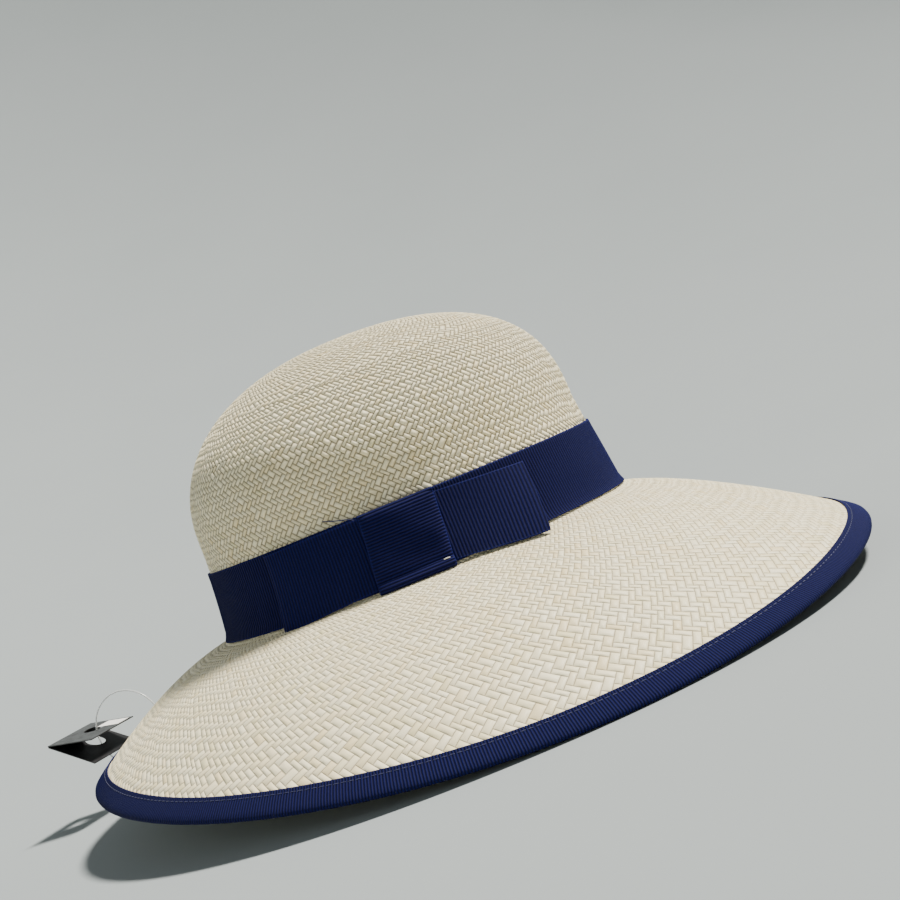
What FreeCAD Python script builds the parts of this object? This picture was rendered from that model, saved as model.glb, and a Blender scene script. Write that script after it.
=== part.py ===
"""Wide-brimmed panama hat with a ribbon band and tailored bow.  Millimetres, +Z up,
+X is the wearer's front, -Y the wearer's right, where the bow sits.
Every piece is modelled about the crown's axis with z = 0 at the break between the
crown and the brim.  At the end the whole hat is lifted so that the brim's lowest
edge stands on z = 0 and its footprint is centred on the origin."""
import FreeCAD
import Part
import math
import os

V = FreeCAD.Vector

# ---- straw body: head size 58, wide drooping brim ---------------------------------
BASE_A, BASE_B, BASE_N = 105.75, 86.9, 2.2      # outer oval at the break
BASE_MID = 1.75                                 # oval's middle, forward of the axis
CROWN_H = 119.8
# Wall profiles: change of width, the height where it ends, its power, then the top's
# two profile powers.
FRONT = (-6.6, 49.5, 1.05, 2.64, 2.31)
REAR = (-4.4, 50.8, 2.0, 2.13, 2.30)
SIDE = (-3.1, 49.9, 2.0, 2.54, 2.54)
EDGE_A, EDGE_B, EDGE_N, EDGE_X = 197.0, 189.5, 2.13, 12.0
EDGE_Z, EDGE_Z1, EDGE_Z2, EDGE_Z3 = -54.2, -8.7, 9.6, 0.45
DROOP, DROOP1, DROOP2 = 1.47, -0.16, -0.01      # power of the fall along the brim
STRAW_T = 1.4
BREAK_R = 4.0                                   # rounding where crown meets brim
N_RING = 48                                     # points in each ring curve

# ---- ribbons, threads and wire ----------------------------------------------------
RIBBON_W, RIBBON_T = 35.0, 0.7
BAND_GAP, BAND_TOP = 0.45, 35.8
BAND_FOOT, BAND_FLARE = 1.6, 1.2                # lower edge stands off the rounded break
BINDING_W, BINDING_T = 9.0, 0.6
WIRE_D = 1.2
WIRE_OUT, WIRE_LOW = 0.95, 0.7                  # wire's centre beyond the straw's edge, below its face
JOINER_L, JOINER_WALL = 8.0, 0.13
THREAD_D = 0.35
SWEAT_W, SWEAT_T = 34.0, 1.0
LABEL_W, LABEL_H = 30.0, 18.0

# ---- folded swing tag on a nylon loop at the back of the brim ---------------------
TAG_CORNER = V(-231, 60, -21.8)
TAG_FOLD, TAG_W, TAG_T, TAG_HOLE_D = 36.0, 32.0, 0.5, 11.0
TAG_HOLE_AT = (21.5, 15.0)                      # along the fold, away from the fold
TAG_AZ = 62.0                                   # heading of the fold, degrees from +X
LEAF_DROP = (30.0, 7.0)                         # dip of the lower and the upper leaf
LOOP_WIRE_D = 0.9
LOOP_IN = 13.0                                  # piercing point, in from the edge
LOOP_AZ = 162.0
LOOP_IN_HOLE = 2.2                              # from the hole's centre towards the hat
UPPER_LIFT = 0.6                                # upper leaf above the lower one at the fold
STICKER = (10.0, 15.0, 0.12)

# rows of a meridian that bound the crown, the break and the brim
SPANS = ((0, 12), (12, 16), (16, 25))
PHIS = [2 * math.pi * k / N_RING for k in range(N_RING)]


# ================================ surface of the hat ================================
def radius(a, b, n, phi):
    """Radius of a superellipse at polar angle phi."""
    return (abs(math.cos(phi) / a) ** n + abs(math.sin(phi) / b) ** n) ** (-1 / n)


def half_width(z, base, shape):
    """Half width of the crown at height z: the leaning wall, then the rounded top."""
    swell, z_wide, m, p, q = shape
    if z < z_wide:
        return base + swell * (1 - (1 - z / z_wide) ** m)
    u = min((z - z_wide) / (CROWN_H - z_wide), 1.0)
    return (base + swell) * (1 - u ** p) ** (1 / q)


def crown_point(z, phi, off=0.0):
    """Outer face of the crown at height z, moved sideways by off."""
    front = half_width(z, BASE_A + BASE_MID, FRONT)
    rear = half_width(z, BASE_A - BASE_MID, REAR)
    side = half_width(z, BASE_B, SIDE)
    mid, a = (front - rear) / 2, (front + rear) / 2
    r = radius(a + off, side + off, BASE_N, phi)
    return V(mid + r * math.cos(phi), r * math.sin(phi), z)


def brim_point(s, phi):
    """Upper face of the brim, s = 0 at the crown and 1 at the edge."""
    r0 = radius(BASE_A, BASE_B, BASE_N, phi)
    r1 = radius(EDGE_A, EDGE_B, EDGE_N, phi)
    p0 = V(BASE_MID + r0 * math.cos(phi), r0 * math.sin(phi), 0)
    p1 = V(EDGE_X + r1 * math.cos(phi), r1 * math.sin(phi), 0)
    fall = EDGE_Z + EDGE_Z1 * math.cos(phi) + EDGE_Z2 * math.cos(2 * phi)
    fall += EDGE_Z3 * math.cos(3 * phi)
    power = DROOP + DROOP1 * math.cos(phi) + DROOP2 * math.cos(2 * phi)
    return p0 + (p1 - p0) * s + V(0, 0, fall * max(s, 0.0) ** power)


def break_point(t, phi):
    """Rounded corner between the crown's wall and the brim, t from 0 to 1."""
    top = crown_point(BREAK_R, phi)
    out = brim_point(BREAK_R / 90.0, phi)
    corner = crown_point(0, phi)
    return top * (1 - t) ** 2 + corner * (2 * t * (1 - t)) + out * t ** 2


def meridian(phi):
    """Points of one radial section from the top of the crown to the brim's edge."""
    tops = [0.06, 0.17, 0.29, 0.41, 0.53, 0.65, 0.77, 0.89, 1.0]
    pts = [crown_point(CROWN_H - (CROWN_H - 50) * w * w, phi) for w in tops]
    pts += [crown_point(z, phi) for z in (38.5, 27, 15.5)]
    pts += [break_point(t, phi) for t in (0.0, 0.25, 0.5, 0.75, 1.0)]
    start = BREAK_R / 90.0
    pts += [brim_point(start + (1 - start) * k / 9, phi) for k in range(1, 10)]
    return pts


def normals(rows):
    """Outward unit normals of a grid of points, rows x rings."""
    out = []
    for i, row in enumerate(rows):
        up, down = rows[max(i - 1, 0)], rows[min(i + 1, len(rows) - 1)]
        line = []
        for j in range(N_RING):
            along = down[j] - up[j]
            around = row[(j + 1) % N_RING] - row[j - 1]
            line.append(around.cross(along).normalize() * -1)
        out.append(line)
    return out


def skin_rows(off):
    """The hat's whole surface, moved off along its own normals."""
    cols = [meridian(phi) for phi in PHIS]
    rows = [[col[i] for col in cols] for i in range(len(cols[0]))]
    moved = []
    for row, line in zip(rows, normals(rows)):
        moved.append([p + n * off for p, n in zip(row, line)])
    return moved


def edge_row(back, off):
    """Ring that lies back mm in from the brim's edge and off above its upper face."""
    ring = []
    for phi in PHIS:
        edge, near = brim_point(1.0, phi), brim_point(0.97, phi)
        inward = (near - edge).normalize()
        side = brim_point(1.0, phi + 0.01) - edge
        up = inward.cross(side).normalize()
        if up.z < 0:
            up = up * -1
        s = 1.0
        while back > 0 and (brim_point(s, phi) - edge).Length < back:
            s -= 0.002
        start = brim_point(s, phi) if back > 0 else edge - inward * -back
        ring.append(start + up * off)
    return ring


# ================================ building helpers ==================================
def ring_wire(points):
    """Smooth closed curve through the points."""
    curve = Part.BSplineCurve()
    curve.interpolate(Points=points, PeriodicFlag=True)
    return Part.Wire([curve.toShape()])


def band_between(wire_a, wire_b):
    """Ruled strip between two closed curves."""
    return Part.makeLoft([wire_a, wire_b], False, True).Faces


def solid_of(faces):
    """Closed solid from the faces of its skin."""
    shell = Part.Shell(faces) if len(faces) < 2 else Part.makeShell(faces)
    if not shell.isClosed():
        sewn = Part.Compound(faces)
        sewn.sewShape(0.01)
        shell = sewn.Shells[0]
    solid = Part.makeSolid(shell)
    if solid.Volume < 0:
        solid.reverse()
    return solid


def ring_solid(rows):
    """Closed ring whose section is the loop of points that the rows run through."""
    wires = [ring_wire(row) for row in rows]
    faces = []
    for one, two in zip(wires, wires[1:] + wires[:1]):
        faces += band_between(one, two)
    return solid_of(faces)


def strip_solid(sections):
    """Ribbon whose four-cornered sections are joined one after another."""
    wires = [Part.makePolygon(list(corners) + [corners[0]]) for corners in sections]
    return Part.makeLoft(wires, True, False)


def wall_section(arc, z0, z1, near, far):
    """Upright ribbon section at arc along the wall, between two stand-off distances."""
    phi = phi_at(arc)
    return (crown_point(z0, phi, near[0]), crown_point(z0, phi, far[0]),
            crown_point(z1, phi, far[1]), crown_point(z1, phi, near[1]))


def phi_at(arc):
    """Polar angle of the point arc mm forward of the wearer's right."""
    phi, here, gone = -math.pi / 2, crown_point(18, -math.pi / 2), 0.0
    step = 0.005 if arc > 0 else -0.005
    while gone < abs(arc):
        phi += step
        there = crown_point(18, phi)
        gone += (there - here).Length
        here = there
    return phi


def mix(values, t):
    """Straight-line reading of evenly spaced values at t from 0 to 1."""
    place = t * (len(values) - 1)
    k = min(int(place), len(values) - 2)
    return values[k] + (values[k + 1] - values[k]) * (place - k)


def wall_ribbon(arcs, bottoms, tops, near, far, steps=9):
    """Ribbon along the wall; each list is read evenly from its rear to its front end."""
    sections = []
    for k in range(steps):
        t = k / (steps - 1)
        gap, face = mix(near, t), mix(far, t)
        sections.append(wall_section(arcs[0] + (arcs[1] - arcs[0]) * t, mix(bottoms, t),
                                     mix(tops, t), gap, face))
    return strip_solid(sections)


def pair(low, high=None):
    """Stand-off at the lower and the upper edge, as a vector so that it can be mixed."""
    return FreeCAD.Vector(low, low if high is None else high, 0)


# ================================== straw and edge ==================================
def straw_body():
    outer, inner = skin_rows(0.0), skin_rows(-STRAW_T)
    outer_wires = [ring_wire(row) for row in outer]
    inner_wires = [ring_wire(row) for row in inner]
    faces = []
    for wires in (outer_wires, inner_wires):
        for first, last in SPANS:
            faces += Part.makeLoft(wires[first:last + 1], False, False).Faces
    faces += band_between(outer_wires[-1], inner_wires[-1])
    faces += [Part.makeFilledFace(w.Edges) for w in (outer_wires[0], inner_wires[0])]
    pierce, out, around = loop_frame()
    slit = Part.makeBox(5.0, 2.0, 12.0, V(-2.5, -1.0, -6.0))
    slit.Placement = frame_at(pierce, out, around)
    return solid_of(faces).cut(slit)


def edge_wire():
    r = WIRE_D / 2
    turns = [2 * math.pi * k / 8 for k in range(8)]
    places = [(-WIRE_OUT + r * math.cos(t), -WIRE_LOW + r * math.sin(t)) for t in turns]
    return ring_solid([edge_row(back, off) for back, off in places])


def wire_joiner():
    """Crimped tube over the two meeting ends of the wire, at the centre back."""
    ring = edge_row(-WIRE_OUT, -WIRE_LOW)
    half = N_RING // 2
    bore_r = WIRE_D / 2 + 0.07
    start = V(0, 0, -JOINER_L / 2)
    tube = Part.makeCylinder(bore_r + JOINER_WALL, JOINER_L, start)
    bore = Part.makeCylinder(bore_r, JOINER_L + 2, start - V(0, 0, 1))
    along = (ring[half + 1] - ring[half - 1]).normalize()
    joiner = tube.cut(bore)
    joiner.Placement = FreeCAD.Placement(ring[half], FreeCAD.Rotation(V(0, 0, 1), along))
    return joiner


def rim_binding():
    """Grosgrain folded in a U round the edge, with its two edges stitched through."""
    gap, under = 0.25, -STRAW_T - 0.25
    over, below = gap + BINDING_T, under - BINDING_T
    outside = [(BINDING_W, over), (BINDING_W / 2, over), (0.0, over), (-1.3, over - 0.05)]
    outside += [(-2.2, 0.1), (-2.5, -0.7), (-2.2, -1.5), (-1.3, below + 0.05)]
    outside += [(0.0, below), (BINDING_W / 2, below), (BINDING_W, below)]
    inside = [(BINDING_W, under), (BINDING_W / 2, under), (0.0, under), (-1.2, under)]
    inside += [(-1.75, -1.25), (-1.92, -0.7), (-1.75, -0.15), (-1.2, gap)]
    inside += [(0.0, gap), (BINDING_W / 2, gap), (BINDING_W, gap)]
    return ring_solid([edge_row(back, off) for back, off in outside + inside])


def thread_ring(back, off, lift):
    """Machine thread lying on one face of the binding."""
    d = THREAD_D
    corners = [(0, 0), (d, 0), (d, d), (0, d)]
    return ring_solid([edge_row(back + x, off + lift * y) for x, y in corners])


# ================================== ribbons =========================================
def hat_band():
    near, far = BAND_GAP, BAND_GAP + RIBBON_T
    top, foot = BAND_TOP, BAND_FOOT
    section = [(foot, near + BAND_FLARE), (foot, far + BAND_FLARE), (5.0, far + 0.2), (18.0, far),
               (top, far), (top, near), (18.0, near), (5.0, near + 0.2)]
    return ring_solid([[crown_point(z, phi, off) for phi in PHIS] for z, off in section])


def bow_rear_loop():
    """Flat loop of doubled ribbon, its lower rear corner dropping below the band."""
    return wall_ribbon((-66, -11.4), (0.5, 2.0, 3.0), (35.6, 35.6, 35.6),
                       (pair(2.6, 1.5), pair(2.1, 1.5)), (pair(4.6, 2.9), pair(3.2, 2.9)))


def bow_front_loop():
    """Front loop, standing off at its lower edge so that it reads as an open fold."""
    return wall_ribbon((12.6, 57), (2.8, 1.4, 0.4), (34.8, 34.0, 32.4),
                       (pair(2.1, 1.5), pair(2.4, 1.5), pair(3.2, 1.7)),
                       (pair(3.2, 2.9), pair(3.4, 2.9), pair(6.2, 3.3), pair(9.4, 3.7),
                        pair(12.6, 4.0)))


def bow_tail_strip():
    """Folded end of the centre wrap that shows under its lower edge."""
    return wall_ribbon((-17, 12.6), (0.9, 0.9), (3.9, 3.9), (pair(3.9), pair(3.9)),
                       (pair(5.0), pair(5.0)), 5)


def bow_centre_wrap():
    """Wide ribbon turned over both loops from top to bottom."""
    return wall_ribbon((-17.5, 17.2), (4.2, 4.2), (36.2, 36.2), (pair(3.9, 3.3), pair(3.9, 3.3)),
                       (pair(5.0, 4.6), pair(5.0, 4.6)), 7)


def sweatband():
    near, far = -STRAW_T - 0.4, -STRAW_T - 0.4 - SWEAT_T
    rows = []
    for z, off in ((4.5, near), (SWEAT_W, near), (SWEAT_W, far), (4.5, far)):
        rows.append([crown_point(z, phi, off) for phi in PHIS])
    return ring_solid(rows)


def sweatband_thread():
    """Hand-run thread along the sweatband's lower edge."""
    face = -STRAW_T - 0.4 - SWEAT_T - 0.05
    rows = []
    for z, off in ((5.6, face), (6.0, face), (6.0, face - 0.4), (5.6, face - 0.4)):
        rows.append([crown_point(z, phi, off) for phi in PHIS])
    return ring_solid(rows)


def size_label():
    """Blank woven label on the sweatband's inner face at the centre back."""
    reach = LABEL_W / 2 / 95.0
    near = -STRAW_T - 0.4 - SWEAT_T - 0.3
    far = near - 0.4
    z0, z1 = 9.0, 9.0 + LABEL_H
    sections = []
    for k in range(5):
        phi = math.pi + reach * (k / 2 - 1)
        sections.append((crown_point(z0, phi, near), crown_point(z0, phi, far),
                         crown_point(z1, phi, far), crown_point(z1, phi, near)))
    return strip_solid(sections)


def bow_tack_stitch():
    """Pale hand stitch that holds the bow's wrap down near its front lower corner."""
    phi = phi_at(12.6)
    low, high = crown_point(4.6, phi, 5.45), crown_point(7.4, phi, 5.4)
    return Part.makeCylinder(0.3, (high - low).Length, low, high - low)


def loose_thread():
    """Thread end that stands up above the band behind the bow."""
    a = crown_point(37.2, phi_at(-21.4), 1.0)
    b = crown_point(39.5, phi_at(-32.9), 2.2)
    return Part.makeCylinder(0.25, (b - a).Length, a, b - a)


# ================================== swing tag =======================================
def frame_at(point, x_dir, y_dir):
    """Placement at a point, with its x and y along two square directions."""
    z_dir = x_dir.cross(y_dir)
    return FreeCAD.Placement(point, FreeCAD.Rotation(x_dir, y_dir, z_dir, "XYZ"))


def tag_axes(dip):
    """Directions along the fold and away from it for a leaf that dips by dip degrees."""
    az = math.radians(TAG_AZ)
    fold = V(math.cos(az), math.sin(az), 0)
    level = V(math.sin(az), -math.cos(az), 0)
    d = math.radians(dip)
    return fold, level * math.cos(d) - V(0, 0, math.sin(d))


def leaf(dip, lift):
    """One leaf of the folded card with its round hole, lift mm above the card's corner."""
    fold, away = tag_axes(dip)
    along, across = TAG_HOLE_AT
    card = Part.makeBox(TAG_W, TAG_FOLD, TAG_T)
    hole = Part.makeCylinder(TAG_HOLE_D / 2, 4.0, V(across, along, -2.0))
    shape = card.cut(hole)
    shape.Placement = frame_at(TAG_CORNER + away.cross(fold) * lift, away, fold)
    return shape


def hole_centre(dip):
    fold, away = tag_axes(dip)
    return TAG_CORNER + fold * TAG_HOLE_AT[0] + away * TAG_HOLE_AT[1]


def loop_points():
    """Where the nylon loop pierces the brim, and where it carries the tag."""
    phi = math.radians(LOOP_AZ)
    s = 1.0
    edge = brim_point(1.0, phi)
    while (brim_point(s, phi) - edge).Length < LOOP_IN:
        s -= 0.002
    pierce = brim_point(s, phi) - V(0, 0, STRAW_T / 2)
    middle = (hole_centre(LEAF_DROP[0]) + hole_centre(LEAF_DROP[1])) * 0.5
    flat = V(pierce.x - middle.x, pierce.y - middle.y, 0).normalize()
    return pierce, middle + flat * LOOP_IN_HOLE


def loop_frame():
    """Piercing point with the loop's outward and sideways directions."""
    pierce, carry = loop_points()
    out = (carry - pierce).normalize()
    return pierce, out, V(0, 0, 1).cross(out).normalize()


def tag_loop():
    """Nylon loop closed by a snap barrel on its lower run."""
    pierce, carry = loop_points()
    _, out, around = loop_frame()
    r = (carry - pierce).Length / 2
    ring = Part.makeTorus(r, LOOP_WIRE_D / 2)
    centre = (pierce + carry) * 0.5
    ring.Placement = FreeCAD.Placement(centre, FreeCAD.Rotation(V(0, 0, 1), around))
    down = out.cross(around)
    down = down if down.z < 0 else down * -1
    spot = centre + down * r
    barrel = Part.makeCylinder(1.5, 6.0, spot - out * 3.0, out)
    return ring.fuse(barrel)


def sticker():
    """White paper price label on the upper leaf, left blank."""
    fold, away = tag_axes(LEAF_DROP[1])
    base = TAG_CORNER + away.cross(fold) * (UPPER_LIFT + TAG_T + 0.03)
    label = Part.makeBox(STICKER[1], STICKER[0], STICKER[2])
    label.Placement = frame_at(base + fold * 24.0 + away * 15.5, away, fold)
    return label


def build():
    under = -STRAW_T - 0.25 - BINDING_T
    parts = {
        "straw_body": straw_body(),
        "edge_wire": edge_wire(),
        "edge_wire_joiner": wire_joiner(),
        "rim_binding": rim_binding(),
        "rim_needle_thread": thread_ring(BINDING_W - 2.2, 0.25 + BINDING_T + 0.02, 1),
        "rim_bobbin_thread": thread_ring(BINDING_W - 2.2, under - 0.02, -1),
        "hat_band": hat_band(),
        "bow_rear_loop": bow_rear_loop(),
        "bow_front_loop": bow_front_loop(),
        "bow_centre_wrap": bow_centre_wrap(),
        "bow_tail_strip": bow_tail_strip(),
        "bow_tack_stitch": bow_tack_stitch(),
        "loose_thread_end": loose_thread(),
        "sweatband": sweatband(),
        "sweatband_thread": sweatband_thread(),
        "size_label": size_label(),
        "tag_loop": tag_loop(),
        "tag_lower_leaf": leaf(LEAF_DROP[0], 0.0),
        "tag_upper_leaf": leaf(LEAF_DROP[1], UPPER_LIFT),
        "tag_sticker": sticker(),
    }
    return parts


def main():
    os.makedirs("parts", exist_ok=True)
    parts = build()
    box = FreeCAD.BoundBox()
    for shape in parts.values():
        box.add(shape.optimalBoundingBox(True, False))
    shift = V(-(box.XMin + box.XMax) / 2, -(box.YMin + box.YMax) / 2, -box.ZMin)
    for name, shape in parts.items():
        shape.translate(shift)
        shape.exportStep("parts/%s.step" % name)
        print("%-20s %9.1f mm3 valid %s" % (name, shape.Volume, shape.isValid()))
    pierce, carry = loop_points()
    print("lift", shift, "height", box.ZLength, "length", box.XLength, "width", box.YLength)
    print("loop pierces the brim at", pierce + shift, "turning about", loop_frame()[2])
    print("tag hangs at", carry + shift)
    print("card folds at", TAG_CORNER + shift, "about", tag_axes(0)[0])


main()
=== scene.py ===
# %% [markdown]
# # A woven panama hat, dressed in Blender
#
# The hat is a blocked straw body with a navy ribbon round the crown, a flat tailored
# bow on the wearer's right, a ribbon binding stitched over the brim's wired edge, a
# cloth sweatband inside, and a folded card tag on a nylon loop at the back.
# The CAD model is loaded first and fixes every place and size.  Each step below makes
# one of the hat's pieces on top of it: the straw and the ribbons are rebuilt with
# their real weave, and the small hard pieces keep their CAD shape.

# %% Load the frame
import bpy
import bmesh
import math
import numpy as np
from mathutils import Matrix, Vector


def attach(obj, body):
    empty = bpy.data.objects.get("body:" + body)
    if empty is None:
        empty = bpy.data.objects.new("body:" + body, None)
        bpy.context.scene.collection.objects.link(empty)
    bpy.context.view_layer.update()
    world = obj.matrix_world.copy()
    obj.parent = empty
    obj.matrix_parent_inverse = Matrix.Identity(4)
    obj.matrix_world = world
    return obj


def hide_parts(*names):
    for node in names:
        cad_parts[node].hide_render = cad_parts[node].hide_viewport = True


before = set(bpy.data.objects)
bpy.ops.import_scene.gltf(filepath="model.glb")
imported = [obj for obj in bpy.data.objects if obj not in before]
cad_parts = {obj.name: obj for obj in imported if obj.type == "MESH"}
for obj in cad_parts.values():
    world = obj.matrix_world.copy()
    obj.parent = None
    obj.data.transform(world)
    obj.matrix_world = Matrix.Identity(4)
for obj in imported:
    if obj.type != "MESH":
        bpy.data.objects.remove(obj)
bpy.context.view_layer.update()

# %% [markdown]
# ## Camera
# The hat is seen from the wearer's right, almost level with the brim, and looks tipped,
# front end up.  The hat itself stands upright in its frame, so the camera is rolled.
# The camera comes early because nothing else depends on the pieces, and every later
# look can be judged through it.

# %% Place the camera
CAMERA_AT = Vector((0.03837, -0.70811, 0.12103))
CAMERA_RIGHT = Vector((0.9262, -0.0107, -0.3768))
CAMERA_UP = Vector((0.3769, 0.0052, 0.9262))
CAMERA_LENS_MM = 56.0

camera_data = bpy.data.cameras.new("camera")
camera_data.lens = CAMERA_LENS_MM
camera_data.sensor_width = 36.0
camera_data.clip_start = 0.02
camera = bpy.data.objects.new("camera", camera_data)
bpy.context.collection.objects.link(camera)
backward = CAMERA_RIGHT.cross(CAMERA_UP).normalized()
upward = backward.cross(CAMERA_RIGHT).normalized()
turn = Matrix((CAMERA_RIGHT.normalized(), upward, backward)).transposed()
camera.matrix_world = Matrix.Translation(CAMERA_AT) @ turn.to_4x4()
bpy.context.scene.camera = camera
print("camera at", tuple(round(x, 3) for x in CAMERA_AT))

# %% [markdown]
# ## The hat's surface
# Straw, ribbons and stitches all follow one surface, so the formulas that the CAD model
# was drawn from are repeated here, for whole arrays of points at once.  A `level` runs
# down the surface: 0 to 1 over the rounded top, 1 to 2 down the wall, 2 to 3 round the
# break into the brim, and 3 to 4 out to the brim's edge.  An angle `phi` runs round it.

# %% Dimensions, in millimetres from the middle of the crown's base
BASE_A, BASE_B, BASE_N = 105.75, 86.9, 2.2
BASE_MID = 1.75
CROWN_H, TOP_Z = 119.8, 50.0
# Wall profiles: change of width, height where it ends, its power, the top's powers.
FRONT = (-6.6, 49.5, 1.05, 2.64, 2.31)
REAR = (-4.4, 50.8, 2.0, 2.13, 2.30)
SIDE = (-3.1, 49.9, 2.0, 2.54, 2.54)
EDGE_A, EDGE_B, EDGE_N, EDGE_X = 197.0, 189.5, 2.13, 12.0
FALL = (-54.2, -8.7, 9.6, 0.45)
DROOP = (1.47, -0.16, -0.01)
BREAK_R = 4.0
HAT_LIFT = np.array((10.05771, 0.0, 67.65841))
MM = 0.001


def oval(a, b, n, phi):
    """Radius of a superellipse at angle phi."""
    return (np.abs(np.cos(phi) / a) ** n + np.abs(np.sin(phi) / b) ** n) ** (-1 / n)


def half_width(z, base, shape):
    swell, z_wide, m, p, q = shape
    low = base + swell * (1 - np.clip(1 - z / z_wide, 0.0, None) ** m)
    u = np.clip((z - z_wide) / (CROWN_H - z_wide), 0.0, 1.0)
    high = (base + swell) * (1 - u ** p) ** (1 / q)
    return np.where(z < z_wide, low, high)


def crown(z, phi, off=0.0):
    """Points on the crown at height z, pushed sideways by off."""
    front = half_width(z, BASE_A + BASE_MID, FRONT)
    rear = half_width(z, BASE_A - BASE_MID, REAR)
    side = half_width(z, BASE_B, SIDE)
    r = oval((front + rear) / 2 + off, side + off, BASE_N, phi)
    x = (front - rear) / 2 + r * np.cos(phi)
    return np.stack(np.broadcast_arrays(x, r * np.sin(phi), z + 0 * phi), axis=-1)


def brim(s, phi):
    """Points on the brim, s = 0 at the crown and 1 at the edge."""
    r0 = oval(BASE_A, BASE_B, BASE_N, phi)
    r1 = oval(EDGE_A, EDGE_B, EDGE_N, phi)
    fall = FALL[0] + FALL[1] * np.cos(phi) + FALL[2] * np.cos(2 * phi)
    fall = fall + FALL[3] * np.cos(3 * phi)
    power = DROOP[0] + DROOP[1] * np.cos(phi) + DROOP[2] * np.cos(2 * phi)
    x0, x1 = BASE_MID + r0 * np.cos(phi), EDGE_X + r1 * np.cos(phi)
    x = x0 + (x1 - x0) * s
    y = (r0 + (r1 - r0) * s) * np.sin(phi)
    z = fall * np.maximum(s, 1e-9) ** power
    return np.stack(np.broadcast_arrays(x, y, z), axis=-1)


def hat_points(level, phi):
    """Outer surface of the straw for arrays of level and phi of one shape."""
    top_w = np.clip(level, 0, 1)
    wall_z = TOP_Z - (TOP_Z - BREAK_R) * np.clip(level - 1, 0, 1)
    z = np.where(level < 1, CROWN_H - (CROWN_H - TOP_Z) * top_w ** 2, wall_z)
    out = crown(z, phi)
    t = np.clip(level - 2, 0, 1)[..., None]
    start = BREAK_R / 90.0
    bend = crown(BREAK_R + 0 * phi, phi) * (1 - t) ** 2 + crown(0 * phi, phi) * 2 * t * (1 - t)
    bend = bend + brim(start + 0 * phi, phi) * t ** 2
    flat = brim(start + (1 - start) * np.clip(level - 3, 0, None), phi)
    out = np.where(level[..., None] > 2, bend, out)
    return np.where(level[..., None] > 3, flat, out)


def hat_normals(level, phi, step=0.004):
    """Outward unit normals, from small steps along and round the surface."""
    low = np.maximum(level - step, 0.01)
    down = hat_points(level + step, phi) - hat_points(low, phi)
    around = hat_points(level, phi + step) - hat_points(level, phi - step)
    n = np.cross(down, around)
    return n / np.linalg.norm(n, axis=-1, keepdims=True)


# %% Even spacing round the hat
# Columns are spread by arc length along the wall, so that strands keep one width.
TURN_PHI = np.linspace(-math.pi, math.pi, 2881)
ring_18 = crown(np.full_like(TURN_PHI, 18.0), TURN_PHI)
ring_steps = np.linalg.norm(np.diff(ring_18, axis=0), axis=1)
WALL_ARC = np.concatenate([[0.0], np.cumsum(ring_steps)])
WALL_ROUND = WALL_ARC[-1]
RIGHT_ARC = float(np.interp(-math.pi / 2, TURN_PHI, WALL_ARC))


def phi_of_turn(turn):
    """Angle for a share of the way round, 0 to 1 from the centre back."""
    whole = np.floor(turn)
    return np.interp((turn - whole) * WALL_ROUND, WALL_ARC, TURN_PHI) + whole * 2 * math.pi


def phi_of_arc(arc):
    """Angle of the point that is arc mm forward of the wearer's right."""
    return np.interp(RIGHT_ARC + arc, WALL_ARC, TURN_PHI)


print("round the crown: %.1f mm" % WALL_ROUND)

# %% [markdown]
# ## Helpers for cloth and straw
# A woven face is a flat grid that a formula bends into place.  `create_grid` makes the
# faces and the formula only moves its corners, which is quick even for a hundred
# thousand of them.  Each grid also gets a UV map in the weave's own units, strands or
# millimetres, so that the material's pattern and the mesh's relief agree.


# %% Bend a grid into a sheet, a ring or a tube
def smooth_into(bm, mesh):
    """Write a bmesh into a mesh with smooth faces, and let it go."""
    for face in bm.faces:
        face.smooth = True
    bm.to_mesh(mesh)
    bm.free()
    return mesh


def bent_grid(name, columns, rows, place, uv_name, merge=1e-6, creases=()):
    """Grid of columns x rows quads; place(i, j) gives points in mm and UV pairs."""
    bm = bmesh.new()
    bmesh.ops.create_grid(bm, x_segments=columns, y_segments=rows, size=0.5)
    mesh = bpy.data.meshes.new(name)
    bm.to_mesh(mesh)
    bm.free()
    flat = np.empty(len(mesh.vertices) * 3)
    mesh.vertices.foreach_get("co", flat)
    flat = flat.reshape(-1, 3)
    i = np.rint((flat[:, 0] + 0.5) * columns)
    j = np.rint((flat[:, 1] + 0.5) * rows)
    points, uv = place(i, j)
    points = (points + HAT_LIFT) * MM
    mesh.vertices.foreach_set("co", points.ravel())
    corners = np.empty(len(mesh.loops), dtype=np.int64)
    mesh.loops.foreach_get("vertex_index", corners)
    layer = mesh.uv_layers.new(name=uv_name)
    layer.data.foreach_set("uv", uv[corners].astype(np.float32).ravel())
    if creases:
        ends = np.empty(len(mesh.edges) * 2, dtype=np.int64)
        mesh.edges.foreach_get("vertices", ends)
        row_of = j[ends.reshape(-1, 2)]
        sharp = (row_of[:, 0] == row_of[:, 1]) & np.isin(row_of[:, 0], creases)
        mesh.attributes.new("sharp_edge", "BOOLEAN", "EDGE").data.foreach_set("value", sharp)
    bm = bmesh.new()
    bm.from_mesh(mesh)
    bmesh.ops.remove_doubles(bm, verts=bm.verts, dist=merge)
    bmesh.ops.recalc_face_normals(bm, faces=bm.faces)
    return smooth_into(bm, mesh)


def finish_piece(mesh, body, nodes=(), material=None):
    """Show a mesh as a piece of the hat."""
    piece = bpy.data.objects.new(mesh.name, mesh)
    bpy.context.collection.objects.link(piece)
    if material is not None:
        mesh.materials.clear()
        mesh.materials.append(material)
    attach(piece, body)
    if nodes:
        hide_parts(*nodes)
    return piece


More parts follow.
